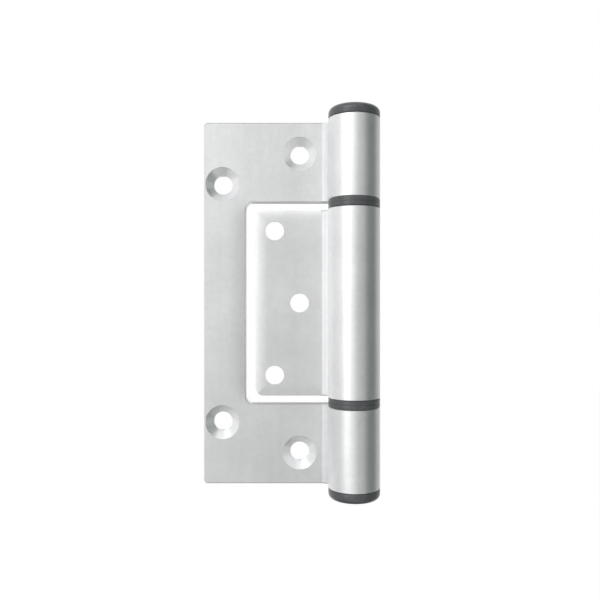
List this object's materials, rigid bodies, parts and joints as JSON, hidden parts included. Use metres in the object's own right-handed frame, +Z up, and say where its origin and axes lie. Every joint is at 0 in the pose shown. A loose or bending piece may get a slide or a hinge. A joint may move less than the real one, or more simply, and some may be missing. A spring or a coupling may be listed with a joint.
{
  "type": "offset interfold hinge",
  "caption": "Flat hinge whose narrow inner leaf nests in a window of the outer leaf when closed, turning on an offset round barrel with plastic bushes and rounded end caps.",
  "frame": {"origin": "midway between the two screw holes along the outer leaf's free edge, on the leaf's back face, which lies against the frame", "axes": "+Z up along the pin, +Y out of the outer leaf's back face into the frame, +X from the outer leaf's free edge towards the barrel"},
  "size_m": [0.0483, 0.014, 0.1058],
  "materials": {
    "satin_aluminium": "satin anodised extrusion",
    "charcoal_plastic": "fine moulded grain",
    "pin_steel": "ground"
  },
  "bodies": {
    "frame_side": {"outer_leaf": "satin_aluminium", "hinge_pin": "pin_steel", "upper_end_cap": "charcoal_plastic", "lower_end_cap": "charcoal_plastic", "upper_knuckle_bush": "charcoal_plastic", "lower_knuckle_bush": "charcoal_plastic"},
    "panel_side": {"inner_leaf": "satin_aluminium", "middle_knuckle_upper_bush": "charcoal_plastic", "middle_knuckle_lower_bush": "charcoal_plastic"}
  },
  "joints": [
    {"name": "leaf_swing", "type": "hinge", "parent": "frame_side", "child": "panel_side", "pos_m": [0.0362, -0.007, 0], "axis": [0, 0, 1], "range_deg": [0, 180]}
  ]
}
